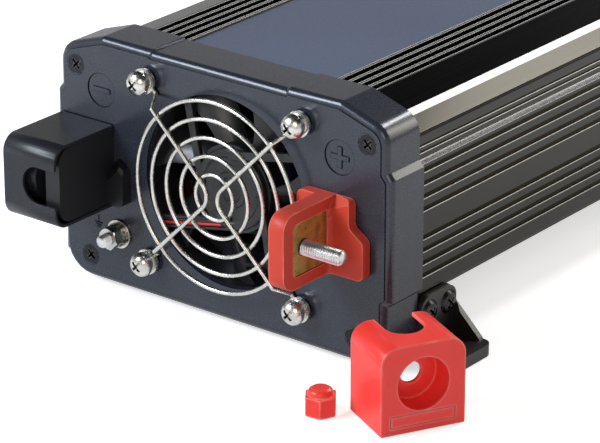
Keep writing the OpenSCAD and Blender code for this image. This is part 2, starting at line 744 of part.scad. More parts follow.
// Cap nut: hexagon with a flat dome and a blind bore
nut_h = 7.2;
nut_dome = 2.6;
nut_bore = 8.8;
module cap_nut() {
    difference() {
        union() {
            intersection() {
                cylinder(h = nut_h, r = nut_af / sqrt(3), $fn = 6);
                rotate_extrude() polygon([[0, 0], [nut_af * 0.55, 0], [nut_af * 0.575, 0.4],
                    [nut_af * 0.6, nut_h], [0, nut_h]]);
            }
            rotate_extrude() polygon([[0, nut_h - 1], [4.6, nut_h - 1], [4.6, nut_h + 0.9],
                [4.1, nut_h + 1.9], [3.1, nut_h + nut_dome], [0, nut_h + nut_dome]]);
        }
        translate([0, 0, -1]) cylinder(h = nut_bore + 1, r = stud_r + 0.07);
    }
}
module negative_cap_nut() {
    color(black) negative() translate([cover_end - recess_depth + 0.3, -stud_y, 0]) {
        rotate([0, 90, 0]) cap_nut();
    }
}
module positive_cap_nut() {
    color(red) translate([loose_nut[0], loose_nut[1] - body_length / 2, 0]) {
        rotate([0, 0, loose_nut[2]]) cap_nut();
    }
}

// Ground stud with its washers and nut
ground_at = [fan_x - fan_size / 2 - 11, -cap_bottom + 21.7];
ground_r = 2.45;
module ground_stud() {
    tip = -11.2;
    color(nickel) front() turned_y(ground_at[0], ground_at[1]) {
        polygon([[0, tip], [1.6, tip], [ground_r, tip + 0.9], [ground_r, plate_t], [4.4, plate_t],
            [4.4, plate_t + 3], [0, plate_t + 3]]);
    }
}
module ground_flat_washer() {
    color(nickel) front() difference() {
        cyl_y(ground_at[0], ground_at[1], -1.1, 0, 5.6);
        cyl_y(ground_at[0], ground_at[1], -2, 1, ground_r + 0.1);
    }
}
module ground_toothed_washer() {
    color(nickel) front() translate([ground_at[0], -1.1, ground_at[1]]) difference() {
        union() {
            cyl_y(0, 0, -1.6, 0, 3.9);
            for (a = [0:30:330]) rotate([0, a, 0]) box([3, -1.6, -0.5], [4.7, 0, 0.5]);
        }
        cyl_y(0, 0, -2, 1, ground_r + 0.1);
    }
}
module ground_nut() {
    color(nickel) front() translate([ground_at[0], -2.7, ground_at[1]]) difference() {
        rotate([90, 15, 0]) intersection() {
            cylinder(h = 4.4, r = 8 / sqrt(3), $fn = 6);
            rotate_extrude() polygon([[0, 0], [4.1, 0], [4.6, 0.5], [4.6, 3.9], [4.1, 4.4], [0, 4.4]]);
        }
        cyl_y(0, 0, -6, 1, ground_r + fit);
    }
}

// Foot: an angle with two gussets, screwed to the cap's lug
module foot() {
    w = foot_w / 2;
    difference() {
        union() {
            along_x(flange_x, flange_x + flange_t) {
                translate([-w, 0]) square([foot_w, foot_top - 5]);
                translate([-w + 5, 0]) square([foot_w - 10, foot_top]);
                for (s = [-1, 1]) translate([s * (w - 5), foot_top - 5]) circle(r = 5);
            }
            linear_extrude(foot_base) {
                translate([flange_x, -w]) square([foot_reach - flange_x - 4, foot_w]);
                translate([flange_x, -w + 4]) square([foot_reach - flange_x, foot_w - 8]);
                for (s = [-1, 1]) translate([foot_reach - 4, s * (w - 4)]) circle(r = 4);
            }
            for (y = [-w, w - 2.4]) translate([0, y, 0]) along_y(0, 2.4) {
                polygon([[flange_x + 1, foot_base - 1], [foot_reach - 4, foot_base - 1],
                    [foot_reach - 5, foot_base + 0.8], [flange_x + flange_t, foot_top - 7],
                    [flange_x + 1, foot_top - 7]]);
            }
        }
        translate([foot_hole_x, 0, -1]) cylinder(h = foot_base + 2, r = foot_hole_r);
        for (s = [-1, 1]) {
            cyl_x(s * foot_screw_y, foot_screw_z, flange_x - 1, flange_x + 9, 2);
            cyl_x(s * foot_screw_y, foot_screw_z, flange_x + 2, flange_x + 9, 4.6);
        }
    }
}
foot_y = body_length / 2 - foot_inset;
module front_right_foot() { color(black) translate([0, -foot_y, 0]) foot(); }
module front_left_foot() { color(black) translate([0, -foot_y, 0]) mirror([1, 0, 0]) foot(); }
module rear_right_foot() { color(black) translate([0, foot_y, 0]) foot(); }
module rear_left_foot() { color(black) translate([0, foot_y, 0]) mirror([1, 0, 0]) foot(); }
module foot_screw() {
    difference() {
        rotate([0, 90, 0]) rotate_extrude() polygon([[0, -6], [1, -6], [screw_r, -5], [screw_r, 2],
            [4.4, 2], [4.4, 2.8], [3.4, 3.9], [1.5, 4.4], [0, 4.5]]);
        for (a = [45, 135]) rotate([a, 0, 0]) box([2.7, -2.4, -0.55], [6, 2.4, 0.55]);
    }
}
module foot_screws() {
    color(black) for (e = [-1, 1]) mirrored() for (s = [-1, 1]) {
        translate([flange_x, e * foot_y + s * foot_screw_y, foot_screw_z]) foot_screw();
    }
}

module panel_cut(w, h) {
    box([-w / 2 - panel_fit, -1, -h / 2 - panel_fit], [w / 2 + panel_fit, plate_t + 1, h / 2 + panel_fit]);
}
// Rear cap with cut-outs for outlets, switch and lights, and air slots above
outlet_w = 24;
outlet_h = 33;
switch_w = 21;
switch_h = 29;
air_pitch = 5;
air_slots = floor((cap_half_w - 21) / air_pitch);
module rear_end_cap() {
    color(cap_grey) rear() difference() {
        cap_blank();
        cap_screw_holes();
        for (x = outlet_x) translate([x, 0, outlet_z]) panel_cut(outlet_w, outlet_h);
        translate([switch_x, 0, outlet_z]) panel_cut(switch_w, switch_h);
        for (z = light_z) cyl_y(light_x, z, -1, plate_t + 1, 2.5);
        for (i = [-air_slots:air_slots]) {
            x = i * air_pitch;
            box([x - 1.3, -1, cap_top - 28.9], [x + 1.3, plate_t + 1, cap_top - 8.9]);
            box([x - 1.3, -1, -cap_bottom + 6.8], [x + 1.3, plate_t + 1, -cap_bottom + 14.8]);
        }
    }
}
// Grounded outlet: two blade slots and an earth hole in a flanged body
module ac_outlet(x) {
    rear() translate([x, 0, outlet_z]) difference() {
        union() {
            box([-13.5, -2, -18.5], [13.5, 0, 18.5]);
            box([-outlet_w / 2, -1, -outlet_h / 2], [outlet_w / 2, 20, outlet_h / 2]);
        }
        box([-7.4, -3, 1.5], [-5.2, 15, 9.7]);
        box([5.2, -3, 2.3], [7.4, 15, 8.9]);
        box([-2.6, -3, -10.2], [2.6, 15, -6.4]);
        cyl_y(0, -6.4, -3, 15, 2.6);
    }
}
module left_ac_outlet() { color(black) ac_outlet(outlet_x[1]); }
module right_ac_outlet() { color(black) ac_outlet(outlet_x[0]); }

// Switch body with a pocket and two pivot holes
module switch_body() {
    color(black) rear() translate([switch_x, 0, outlet_z]) difference() {
        union() {
            box([-12.5, -2, -16.5], [12.5, 0, 16.5]);
            box([-switch_w / 2, -1, -switch_h / 2], [switch_w / 2, 16, switch_h / 2]);
        }
        box([-8.7, -3, -13.6], [8.7, 10, 13.6]);
        cyl_x(rocker_pivot, 0, -9.7, 9.7, 1.5 + fit);
    }
}
// Rocker, drawn with its upper half pressed
module switch_rocker() {
    color(black) rear() translate([switch_x, rocker_pivot, outlet_z]) rotate([-rocker_tilt, 0, 0]) {
        e = 12.3;
        d = 3.4;
        h = d + e * tan(rocker_tilt);
        along_x(-8.3, 8.3) polygon([[-h, -e], [-d, 0], [-h, e], [2.6, e - 1], [4, e - 4], [4, -e + 4],
            [2.6, -e + 1]]);
        cyl_x(0, 0, -9.5, 9.5, 1.5);
    }
}
module panel_light(z) {
    rear() difference() {
        turned_y(light_x, z) polygon([[0, -1.8], [1.4, -1.5], [2.2, -0.8], [2.45, 0], [2.45, 5], [0, 5]]);
        cyl_y(light_x, z, 4, 6, 1.5);
    }
}
module power_light() { color([0.2, 0.8, 0.3]) panel_light(light_z[0]); }
module fault_light() { color([0.9, 0.2, 0.15]) panel_light(light_z[1]); }

// Heat bars and the transistors on them
bar_t = 6;
bar_z = board_z + board_t + 1.5;
bar_h = 24;
tab_z = board_z + board_t + 18.5;
device_t = 4.5;
choke_r = 21;
choke_x = shell_in - bar_t - device_t - choke_r - 4.6;

// Inside: the board stands on the bottom plate and carries the power parts
standoffs = [for (s = [-1, 1]) for (y = [40, body_length / 2, body_length - 40]) [s * standoff_x, y]];
board_end = body_length - board_y - 6;
board_top = board_z + board_t;
module main_board() {
    color([0.1, 0.35, 0.2]) front() difference() {
        box([-board_half, board_y - 5, board_z], [board_half, board_end, board_top]);
        for (p = standoffs) translate([p[0], p[1], board_z - 1]) cylinder(h = 4, r = 1.6);
    }
}
module board_standoffs() {
    color(nickel) front() for (p = standoffs) translate([p[0], p[1], plate_z]) difference() {
        cylinder(h = board_z - plate_z, r = 3);
        translate([0, 0, -1]) cylinder(h = 10, r = 1.3 + fit);
    }
}
module board_screws() {
    color(nickel) front() for (p = standoffs) {
        translate([p[0], p[1], board_top]) mirror([0, 0, 1]) small_screw(3.6);
        translate([p[0], p[1], plate_z - plate_sheet]) small_screw(4.2);
    }
}
module input_fuses() {
    color(red) front() for (i = [0:3]) translate([-46 + i * 7.5, board_y + 4, board_top]) difference() {
        union() {
            box([-2.6, -8.5, 0], [2.6, 8.5, 6]);
            box([-1.9, -7.5, 5], [1.9, 7.5, 12]);
        }
        box([-1, -5, 10.5], [1, 5, 13]);
    }
}
module can(r, h) {
    rotate_extrude() polygon([[0, 0], [r - 0.6, 0], [r, 0.6], [r, 2.2], [r - 0.5, 2.8], [r, 3.4],
        [r, h - 0.8], [r - 0.8, h], [0, h]]);
}
module input_capacitors() {
    color([0.15, 0.2, 0.45]) front() for (i = [0:5]) {
        translate([-5 + (i % 3) * 17.5, 46 + floor(i / 3) * 17.5, board_top]) can(8, 25);
    }
}
// Ferrite transformer: core, wound bobbin and two flanges in one piece
module transformers() {
    color([0.35, 0.33, 0.3]) front() for (x = [-30, 0, 30]) translate([x, 112, board_top]) {
        difference() {
            box([-12, -20, 3], [12, 20, 31]);
            box([-13, -13, 8], [13, -5, 26]);
            box([-13, 5, 8], [13, 13, 26]);
        }
        box([-13, -14.5, 0], [13, 14.5, 4]);
        along_x(-13, 13) translate([0, 17]) square([25, 17], center = true);
    }
}
module bulk_capacitors() {
    color([0.12, 0.12, 0.16]) front() for (d = [30, 62]) {
        translate([choke_x - d, 172, board_top]) can(12.5, 40);
    }
}
module output_choke() {
    color([0.75, 0.55, 0.2]) front() translate([choke_x, 190, board_top + 8]) difference() {
        rotate_extrude() translate([choke_r - 7, 0]) {
            polygon([[-6, -8], [6, -8], [7, -7], [7, 7], [6, 8], [-6, 8], [-7, 7], [-7, -7]]);
        }
        for (a = [0:20:340]) rotate([0, 0, a]) box([choke_r - 0.6, -0.4, -9], [choke_r + 3, 0.4, 9]);
    }
}
// Heat bars lie against the shell's side walls; transistors stand along them
transistor_y = [for (i = [0:5]) 60 + i * 26];
module heat_bar() {
    difference() {
        box([shell_in - bar_t, 50, bar_z], [shell_in, body_length - 50, bar_z + bar_h]);
        for (y = transistor_y) cyl_x(y, tab_z, shell_in - bar_t - 1, shell_in - 2, 1.5);
    }
}
module left_heat_bar() { color([0.7, 0.71, 0.73]) front() mirror([1, 0, 0]) heat_bar(); }
module right_heat_bar() { color([0.7, 0.71, 0.73]) front() heat_bar(); }
module power_transistors() {
    color(black) front() mirrored() for (y = transistor_y) translate([shell_in - bar_t, y, tab_z]) {
        difference() {
            union() {
                box([-device_t, -5, -12.5], [0, 5, -3.5]);
                box([-1.3, -5, -4], [0, 5, 3.5]);
                for (s = [-1:1]) box([-2.6, s * 2.5 - 0.4, board_top - tab_z], [-2, s * 2.5 + 0.4, -12]);
            }
            cyl_x(0, 0, -2, 1, 1.8);
        }
    }
}

front_end_cap();
rear_end_cap();
finned_shell();
bottom_plate();
top_panel();
front_cap_screws();
rear_cap_screws();
bottom_plate_screws();
fan_frame();
fan_rotor();
fan_guard();
fan_guard_screws();
positive_terminal_base();
positive_bus_bar();
positive_stud();
negative_terminal_base();
negative_bus_bar();
negative_stud();
terminal_base_screws();
negative_terminal_cover();
negative_cap_nut();
positive_terminal_cover();
positive_cap_nut();
ground_stud();
ground_flat_washer();
ground_toothed_washer();
ground_nut();
front_right_foot();
front_left_foot();
rear_right_foot();
rear_left_foot();
foot_screws();
left_ac_outlet();
right_ac_outlet();
switch_body();
switch_rocker();
power_light();
fault_light();
main_board();
board_standoffs();
board_screws();
input_fuses();
input_capacitors();
transformers();
bulk_capacitors();
output_choke();
left_heat_bar();
right_heat_bar();
power_transistors();
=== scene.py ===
import bpy
import math
from mathutils import Matrix, Vector


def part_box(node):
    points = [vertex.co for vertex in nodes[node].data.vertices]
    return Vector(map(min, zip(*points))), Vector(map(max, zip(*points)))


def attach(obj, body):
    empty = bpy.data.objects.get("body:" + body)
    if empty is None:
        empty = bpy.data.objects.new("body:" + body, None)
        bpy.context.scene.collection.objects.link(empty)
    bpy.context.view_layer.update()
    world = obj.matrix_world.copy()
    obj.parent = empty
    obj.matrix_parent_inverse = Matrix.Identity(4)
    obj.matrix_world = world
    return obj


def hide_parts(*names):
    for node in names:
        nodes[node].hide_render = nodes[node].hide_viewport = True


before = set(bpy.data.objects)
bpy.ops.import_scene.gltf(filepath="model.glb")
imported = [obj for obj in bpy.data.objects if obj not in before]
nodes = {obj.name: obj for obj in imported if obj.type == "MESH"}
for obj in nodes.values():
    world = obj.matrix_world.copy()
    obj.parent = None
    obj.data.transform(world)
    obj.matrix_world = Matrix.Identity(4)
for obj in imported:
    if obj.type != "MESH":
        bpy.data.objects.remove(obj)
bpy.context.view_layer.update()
scene = bpy.context.scene
scene.view_settings.view_transform = "Standard"


# Colour and node helpers
def srgb(r, g, b):
    """A colour written as on screen, from 0 to 255, in linear light."""
    def one(c):
        c = c / 255.0
        return c / 12.92 if c <= 0.04045 else ((c + 0.055) / 1.055) ** 2.4
    return (one(r), one(g), one(b), 1.0)


def shade(colour, k):
    """A colour made k times as bright."""
    return (*(min(1, c * k) for c in colour[:3]), 1.0)


class Graph:
    """The node tree of a material or a world, with short-hands for common nodes."""

    def __init__(self, owner):
        owner.use_nodes = True
        self.tree = owner.node_tree

    def node(self, kind, **settings):
        n = self.tree.nodes.new(kind)
        for key, value in settings.items():
            setattr(n, key, value)
        return n

    def feed(self, value, socket):
        """Links an output to an input, or sets the input to a plain value."""
        if hasattr(value, "is_linked"):
            self.tree.links.new(value, socket)
        else:
            socket.default_value = value

    def math(self, operation, a, b):
        n = self.node("ShaderNodeMath", operation=operation)
        self.feed(a, n.inputs[0])
        self.feed(b, n.inputs[1])
        return n.outputs[0]

    def axis(self, vector, letter):
        """One coordinate of a vector."""
        n = self.node("ShaderNodeSeparateXYZ")
        self.feed(vector, n.inputs[0])
        return n.outputs[letter]

    def ramp(self, fac, stops):
        n = self.node("ShaderNodeValToRGB")
        elements = n.color_ramp.elements
        while len(elements) < len(stops):
            elements.new(0.5)
        for i, (at, colour) in enumerate(stops):
            elements[i].position = at
            elements[i].color = colour
        self.feed(fac, n.inputs["Fac"])
        return n.outputs["Color"]


class Mat(Graph):
    """A principled material."""

    def __init__(self, name):
        self.material = bpy.data.materials.new(name)
        super().__init__(self.material)
        self.shader = self.tree.nodes["Principled BSDF"]
        self.place = self.node("ShaderNodeTexCoord").outputs["Object"]

    def stretched(self, sx, sy, sz):
        """The place on the object, scaled along each axis."""
        n = self.node("ShaderNodeMapping")
        n.inputs["Scale"].default_value = (sx, sy, sz)
        self.feed(self.place, n.inputs["Vector"])
        return n.outputs["Vector"]

    def noise(self, scale, detail=3.0, rough=0.55, vec=None, warp=0.0):
        n = self.node("ShaderNodeTexNoise")
        n.inputs["Scale"].default_value = scale
        n.inputs["Detail"].default_value = detail
        n.inputs["Roughness"].default_value = rough
        n.inputs["Distortion"].default_value = warp
        self.feed(vec or self.place, n.inputs["Vector"])
        return n.outputs["Fac"]

    def span(self, fac, lo, hi, a=0.0, b=1.0):
        """Values from lo to hi, mapped to a to b and held there."""
        n = self.node("ShaderNodeMapRange")
        n.inputs["From Min"].default_value = lo
        n.inputs["From Max"].default_value = hi
        n.inputs["To Min"].default_value = a
        n.inputs["To Max"].default_value = b
        self.feed(fac, n.inputs["Value"])
        return n.outputs["Result"]

    def band(self, value, lo, hi):
        """1 where a value is between lo and hi."""
        above = self.math("GREATER_THAN", value, lo)
        below = self.math("LESS_THAN", value, hi)
        return self.math("MULTIPLY", above, below)

    def mix(self, fac, a, b):
        n = self.node("ShaderNodeMix", data_type="RGBA")
        self.feed(fac, n.inputs["Factor"])
        colours = [s for s in n.inputs if s.type == "RGBA"]
        for socket, colour in zip(colours, (a, b)):
            self.feed(colour, socket)
        return [s for s in n.outputs if s.type == "RGBA"][0]

    def facing(self):
        """The direction that a point of the surface faces."""
        return self.node("ShaderNodeNewGeometry").outputs["Normal"]

    def edges(self, radius, lit=False):
        """1 on edges of about that radius, 0 on flat faces; lit keeps only those that turn up."""
        bevel = self.node("ShaderNodeBevel", samples=8)
        bevel.inputs["Radius"].default_value = radius
        rounded = bevel.outputs["Normal"]
        flat = self.facing()
        dot = self.node("ShaderNodeVectorMath", operation="DOT_PRODUCT")
        self.feed(rounded, dot.inputs[0])
        self.feed(flat, dot.inputs[1])
        cosine = dot.outputs["Value"]
        edge = self.span(cosine, 0.998, 0.93)
        if not lit:
            return edge
        rise = self.math("SUBTRACT", self.axis(rounded, "Z"), self.axis(flat, "Z"))
        return self.math("MULTIPLY", edge, self.span(rise, 0.0, 0.12))

    def open_air(self, reach):
        """1 on open faces, towards 0 in grooves narrower than the reach."""
        n = self.node("ShaderNodeAmbientOcclusion", samples=24)
        n.inputs["Distance"].default_value = reach
        return n.outputs["AO"]

    def base(self, colour):
        self.feed(colour, self.shader.inputs["Base Color"])

    def base_now(self):
        return self.shader.inputs["Base Color"].links[0].from_socket

    def roughness(self, value):
        self.feed(value, self.shader.inputs["Roughness"])

    def metal(self, value):
        self.feed(value, self.shader.inputs["Metallic"])

    def gloss(self, level, tint):
        """Strength and tint of the reflection on a surface that isn't metal."""
        self.shader.inputs["Specular IOR Level"].default_value = level
        self.shader.inputs["Specular Tint"].default_value = (*tint, 1)

    def bump(self, height, strength, depth):
        n = self.node("ShaderNodeBump")
        n.inputs["Strength"].default_value = strength
        n.inputs["Distance"].default_value = depth
        self.feed(height, n.inputs["Height"])
        self.feed(n.outputs["Normal"], self.shader.inputs["Normal"])


# Materials: sizes are in metres, and a noise scale is in cells per metre
neutral = (1.0, 1.0, 1.0)
cool = (0.92, 0.95, 1.0)
warm = (1.0, 0.97, 0.9)
mats = {}


def moulded(name, base, rough=0.5, grain=1700, depth=0.00006, wear_and_highlight=1.35, spec=0.5, mottle=0.10,
            tint=neutral, edge=0.0006, wear_and_highlight_colour=None):
    """Moulded plastic: fine spark texture, faint flow mottling, and lighter edges, partly rubbed wear and
    partly a painted highlight.
    """
    m = Mat(name)
    fine = m.noise(grain, 4, 0.6)
    flow = m.noise(38, 3, 0.5, warp=0.6)
    col = m.ramp(flow, [(0.3, shade(base, 1 - mottle)), (0.7, shade(base, 1 + mottle))])
    speck = m.ramp(fine, [(0.35, shade(base, 0.91)), (0.65, shade(base, 1.09))])
    col = m.mix(0.4, col, speck)
    # Lighter edges: partly rubbed wear, partly a painted highlight along the edges
    rub_and_highlight = m.math("MULTIPLY", m.edges(edge), m.span(m.noise(160), 0.3, 0.7, 0.25, 1.0))
    m.base(m.mix(rub_and_highlight, col, wear_and_highlight_colour or shade(base, wear_and_highlight)))
    m.roughness(m.span(fine, 0.3, 0.7, rough - 0.06, rough + 0.08))
    m.bump(fine, 0.35, depth)
    m.gloss(spec, tint)
    return m


mats["cap"] = moulded("cap_plastic", srgb(45, 48, 58), rough=0.24, grain=1900, depth=0.000015, wear_and_highlight=1.6,
                      spec=0.68, tint=cool)
mats["cover_black"] = moulded("cover_black", srgb(36, 38, 44), rough=0.3, grain=2300, depth=0.00003,
                              wear_and_highlight=2.0, spec=0.4)
mats["base_black"] = moulded("terminal_black", srgb(26, 26, 29), rough=0.42, grain=2000, wear_and_highlight=1.8)
# The pale edge colours of the red parts are painted highlights along their edges, with some wear
mats["base_red"] = moulded("terminal_red", srgb(210, 68, 50), rough=0.44, grain=1600, spec=0.35,
                           mottle=0.07, edge=0.0009, wear_and_highlight_colour=srgb(240, 138, 116))
mats["cover_red"] = moulded("cover_red", srgb(250, 62, 54), rough=0.33, grain=2200, depth=0.00003,
                            mottle=0.05, edge=0.0012, wear_and_highlight_colour=srgb(255, 150, 138))
mats["foot"] = moulded("foot_plastic", srgb(32, 30, 30), rough=0.32, grain=1500, wear_and_highlight=2.2, spec=0.6)
mats["fan"] = moulded("fan_plastic", srgb(30, 30, 33), rough=0.34, grain=1500, depth=0.00002, wear_and_highlight=2.0,
                      spec=0.8)
mats["outlet"] = moulded("outlet_plastic", srgb(40, 41, 44), rough=0.38, grain=1800, wear_and_highlight=1.8)
mats["rocker"] = moulded("rocker_plastic", srgb(28, 28, 31), rough=0.25, grain=2200, wear_and_highlight=1.9)
mats["lead_red"] = moulded("lead_red", srgb(222, 52, 58), rough=0.35, grain=1500, wear_and_highlight=1.3, mottle=0.04)
mats["device"] = moulded("device_black", srgb(34, 34, 36), rough=0.5, grain=1800, wear_and_highlight=1.4)


def plated(name, base, rough=0.2, dark=0.72, stain=None, brush=None):
    """Plated metal: slight unevenness and dull spots, with a stain or brush lines where they are given."""
    m = Mat(name)
    blot = m.noise(220, 4, 0.6, warp=0.4)
    fine = m.noise(1, 3, 0.6, vec=m.stretched(*brush)) if brush else m.noise(1400, 3, 0.6)
    col = m.ramp(blot, [(0.28, shade(base, dark)), (0.55, base), (0.8, shade(base, 1.08))])
    if stain:
        tint = m.noise(130, 3, 0.5, warp=1.2)
        col = m.mix(m.span(tint, 0.42, 0.68), col, stain)
    m.base(col)
    m.roughness(m.span(fine, 0.25, 0.75, max(0.05, rough - 0.07), rough + 0.1))
    m.bump(fine, 0.15, 0.00001)
    m.metal(1.0)
    return m


mats["nickel"] = plated("nickel", srgb(240, 237, 230), rough=0.24, dark=0.8)
mats["zinc"] = plated("zinc", srgb(234, 231, 224), rough=0.22, dark=0.8, stain=srgb(210, 208, 202))
mats["thread"] = plated("thread_zinc", srgb(246, 246, 246), rough=0.32, dark=0.85)
mats["dark_steel"] = plated("dark_steel", srgb(150, 147, 140), rough=0.28)
mats["bar"] = plated("bar_metal", srgb(190, 192, 196), rough=0.3, brush=(2600, 40, 2600))
mats["copper"] = plated("copper", srgb(190, 112, 58), rough=0.3)


def passivated(name):
    """Yellow zinc: gold with olive and rose clouds, half matt."""
    m = Mat(name)
    olive = srgb(108, 98, 40)
    gold = srgb(174, 138, 64)
    straw = srgb(204, 176, 100)
    rose = srgb(152, 116, 78)
    cloud = m.noise(70, 4, 0.5, warp=0.5)
    col = m.ramp(cloud, [(0.3, olive), (0.45, gold), (0.58, straw), (0.72, rose)])
    m.base(m.mix(m.edges(0.0006), col, srgb(226, 190, 116)))
    fine = m.noise(1200, 3, 0.6)
    m.roughness(m.span(fine, 0.25, 0.75, 0.24, 0.4))
    m.bump(fine, 0.2, 0.00004)
    m.metal(0.7)
    return m


mats["bus"] = passivated("bus_metal")


def oxide(name, base):
    """Black oxide screws: dark metal, with light edges on the drive that are partly rubbed bare steel and
    partly a painted glint.
    """
    m = Mat(name)
    fine = m.noise(900, 4, 0.6)
    col = m.ramp(fine, [(0.3, shade(base, 0.7)), (0.7, shade(base, 1.4))])
    # The drive's light edges: worn steel and a painted glint
    rub_and_highlight = m.math("MULTIPLY", m.edges(0.00025), m.span(m.noise(420), 0.35, 0.7))
    m.base(m.mix(rub_and_highlight, col, srgb(190, 188, 184)))
    m.roughness(m.span(fine, 0.3, 0.7, 0.2, 0.34))
    m.bump(fine, 0.2, 0.00004)
    m.metal(0.85)
    return m


mats["screw"] = oxide("black_screw", srgb(52, 52, 56))


def anodised(name, base, rough, shaded_ledge=None):
    """Black anodised metal: die lines along the length, painted highlights on edges, painted shade in the
    grooves and a painted shade band under a ledge.
    """
    m = Mat(name)
    lines = m.noise(1, 3, 0.65, vec=m.stretched(2400, 5, 2400))
    cloud = m.noise(26, 3, 0.5)
    col = m.ramp(lines, [(0.3, shade(base, 0.75)), (0.7, shade(base, 1.3))])
    col = m.mix(m.span(cloud, 0.35, 0.7, 0.0, 0.5), col, shade(base, 1.5))
    wear_and_highlight = 0.0006
    out = m.open_air(0.004)
    # Painted highlight: a near-white tone and bright metal on the edges of faces that face up and on edges
    # that turn up
    top = m.math("GREATER_THAN", m.axis(m.facing(), "Z"), 0.95)
    top_edge_highlight = m.math("MULTIPLY", m.edges(wear_and_highlight), top)
    side_edge_highlight = m.math("MULTIPLY", m.edges(wear_and_highlight, lit=True), m.span(lines, 0.3, 0.7, 0.85, 1.0))
    side_edge_highlight = m.math("MULTIPLY", side_edge_highlight, m.span(out, 0.6, 0.8))
    # Painted shade: near black and dark metal in the grooves and in a band under the ledge
    painted_shading_mask = m.span(out, 0.54, 0.4)
    if shaded_ledge:
        painted_shading_mask = m.math("MAXIMUM", painted_shading_mask, m.band(m.axis(m.place, "Z"), *shaded_ledge))
    col = m.mix(m.math("MAXIMUM", top_edge_highlight, side_edge_highlight), col, srgb(255, 253, 246))
    m.base(m.mix(painted_shading_mask, col, srgb(5, 5, 5)))
    m.metal(m.math("MAXIMUM", side_edge_highlight, painted_shading_mask))
    m.roughness(m.span(lines, 0.25, 0.75, rough - 0.02, rough + 0.04))
    m.bump(lines, 0.06, 0.00003)
    m.gloss(0.5, warm)
    return m


shell_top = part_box("finned_shell")[1][2]
# A band under the shell's shoulder facet, where shade is painted in
shell_ledge_shade = (shell_top - 0.0121, shell_top - 0.0103)
mats["shell"] = anodised("shell_metal", srgb(7, 7, 8), 0.13, shell_ledge_shade)
mats["plate"] = anodised("plate_metal", srgb(34, 34, 34), 0.36)


def film(name, base):
    """Smooth satin film with a faint orange peel."""
    m = Mat(name)
    peel = m.noise(700, 2, 0.5)
    drift = m.noise(9, 2, 0.5)
    m.base(m.ramp(drift, [(0.3, shade(base, 0.88)), (0.7, shade(base, 1.1))]))
    m.roughness(m.span(peel, 0.3, 0.7, 0.26, 0.34))
    m.bump(peel, 0.05, 0.00001)
    return m


mats["panel"] = film("panel_film", srgb(73, 86, 114))


def lens(name, base):
    """Tinted lens with a bright ring of inner facets."""
    m = Mat(name)
    cell = m.node("ShaderNodeTexVoronoi", feature="DISTANCE_TO_EDGE")
    cell.inputs["Scale"].default_value = 900
    m.feed(m.place, cell.inputs["Vector"])
    m.base(m.ramp(cell.outputs["Distance"], [(0.0, shade(base, 1.4)), (0.2, base)]))
    m.roughness(m.span(m.noise(600), 0.3, 0.7, 0.06, 0.16))
    m.shader.inputs["Coat Weight"].default_value = 0.5
    return m


mats["lens_green"] = lens("lens_green", srgb(40, 170, 70))
mats["lens_red"] = lens("lens_red", srgb(200, 36, 30))
mats["fuse"] = lens("fuse_red", srgb(44, 12, 14))


def board(name):
    """Solder mask over a maze of tracks, with tinned pads."""
    m = Mat(name)
    brick = m.node("ShaderNodeTexBrick")
    brick.inputs["Scale"].default_value = 260
    brick.inputs["Mortar Size"].default_value = 0.08
    brick.inputs["Color1"].default_value = srgb(22, 84, 50)
    brick.inputs["Color2"].default_value = srgb(16, 66, 40)
    brick.inputs["Mortar"].default_value = srgb(52, 128, 80)
    m.feed(m.place, brick.inputs["Vector"])
    pad = m.node("ShaderNodeTexVoronoi")
    pad.inputs["Scale"].default_value = 190
    m.feed(m.place, pad.inputs["Vector"])
    dots = m.span(pad.outputs["Distance"], 0.16, 0.12)
    m.base(m.mix(dots, brick.outputs["Color"], srgb(206, 204, 190)))
    m.roughness(m.span(m.noise(400), 0.3, 0.7, 0.25, 0.42))
    m.bump(brick.outputs["Fac"], 0.25, 0.00005)
    return m


mats["board"] = board("board")


def sleeve(name, base):
    """Shrink sleeve of a capacitor, or varnished tape, with faint wrinkles."""
    m = Mat(name)
    wrinkle = m.noise(1, 3, 0.6, vec=m.stretched(900, 900, 160))
    m.base(m.ramp(wrinkle, [(0.3, shade(base, 0.8)), (0.7, shade(base, 1.25))]))
    m.roughness(m.span(wrinkle, 0.3, 0.7, 0.2, 0.4))
    m.bump(wrinkle, 0.25, 0.00006)
    return m


mats["sleeve"] = sleeve("can_sleeve", srgb(34, 44, 92))
mats["ferrite"] = sleeve("ferrite", srgb(196, 160, 60))


def painted_step_shadow(m, face):
    """A painted dark shadow line where the front plate steps down to its rim, and round the marks cut in
    it.
    """
    step_back = face - 0.00036
    step_front = face - 0.00005
    y = m.math("ABSOLUTE", m.axis(m.place, "Y"), 0.0)
    step = m.band(y, step_back, step_front)
    edge = m.math("MULTIPLY", m.edges(0.00035), m.math("GREATER_THAN", y, step_back - 0.0003))
    line = m.math("MULTIPLY", m.math("MAXIMUM", step, edge), 0.8)
    # Painted shadow: dark metal and a near-black tone along the step and the marks
    m.metal(line)
    m.base(m.mix(line, m.base_now(), srgb(12, 13, 16)))


def painted_groove_shade_and_light(m, reach, tone, start, end):
    """Another tone down in the grooves, from an openness of start to one of end: painted shade where the
    tone is dark, painted light where it is light.
    """
    painted_shading_mask = m.span(m.open_air(reach), start, end)
    m.base(m.mix(painted_shading_mask, m.base_now(), tone))


cap_face = -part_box("front_end_cap")[0][1]
# A painted shadow line round the cap's front plate and its marks
painted_step_shadow(mats["cap"], cap_face)
# Painted shade in the cap's corners and grooves
painted_groove_shade_and_light(mats["cap"], reach=0.0015, tone=srgb(14, 15, 18), start=0.88, end=0.55)
# Painted light in the red cover's narrow grooves
painted_groove_shade_and_light(mats["cover_red"], reach=0.0012, tone=srgb(255, 176, 166), start=0.7, end=0.4)
# Painted shade in the crevices of the guard, the threads and the screw drives
painted_groove_shade_and_light(mats["nickel"], reach=0.0014, tone=srgb(52, 44, 36), start=0.72, end=0.4)
painted_groove_shade_and_light(mats["thread"], reach=0.0012, tone=srgb(104, 104, 108), start=0.65, end=0.25)
painted_groove_shade_and_light(mats["screw"], reach=0.0015, tone=srgb(8, 8, 9), start=0.8, end=0.4)

